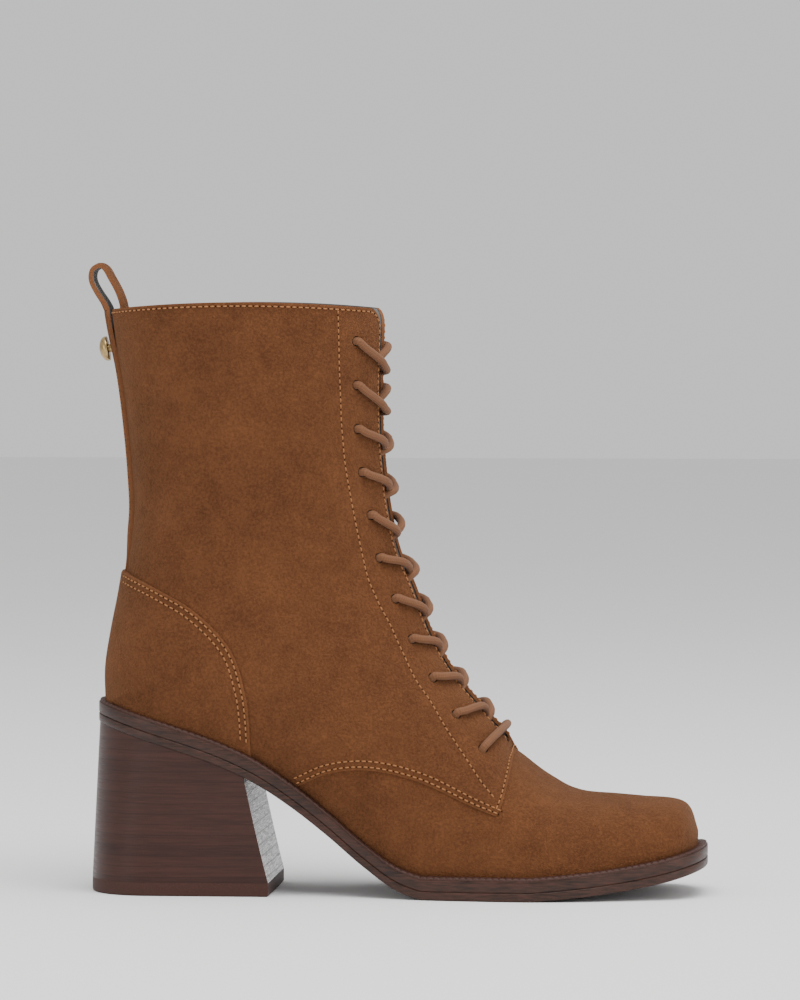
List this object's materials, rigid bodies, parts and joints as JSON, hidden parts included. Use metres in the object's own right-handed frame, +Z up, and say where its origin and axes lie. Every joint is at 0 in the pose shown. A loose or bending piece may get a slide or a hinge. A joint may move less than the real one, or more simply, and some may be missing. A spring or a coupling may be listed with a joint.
{
  "type": "lace up ankle boot",
  "caption": "Ankle boot with a laced front, square toe, welted sole and stacked block heel, in suede, with a pull loop at the back.",
  "frame": {"origin": "middle of the boot's overall box, on the floor it stands on", "axes": "+X forward to the toe, +Y to the inner side of the foot, +Z up the shaft"},
  "size_m": [0.2478, 0.0866, 0.2515],
  "materials": {
    "suede": "brown suede, napped and matt",
    "lining": "dark grey, matt",
    "sole": "dark brown, matt",
    "sole_edge": "dark brown, burnished edge",
    "welt": "reddish brown, satin",
    "heel_stack": "dark brown stacked layers, polished",
    "heel_tip": "brown, matt",
    "lace": "brown round cord, matt",
    "stud": "antique, satin"
  },
  "bodies": {
    "root": {"outsole": "sole", "midsole": "sole_edge", "insole": "lining", "welt": "welt", "heel": "heel_stack", "top_piece": "heel_tip", "upper": "suede", "counter": "suede", "back_stay": "suede", "tongue": "suede", "stud": "stud", "lace_bar": "lace", "lace_cross_01": "lace", "lace_cross_02": "lace", "lace_cross_03": "lace", "lace_cross_04": "lace", "lace_cross_05": "lace", "lace_cross_06": "lace", "lace_cross_07": "lace", "lace_cross_08": "lace", "lace_cross_09": "lace", "lace_cross_10": "lace"}
  },
  "joints": []
}
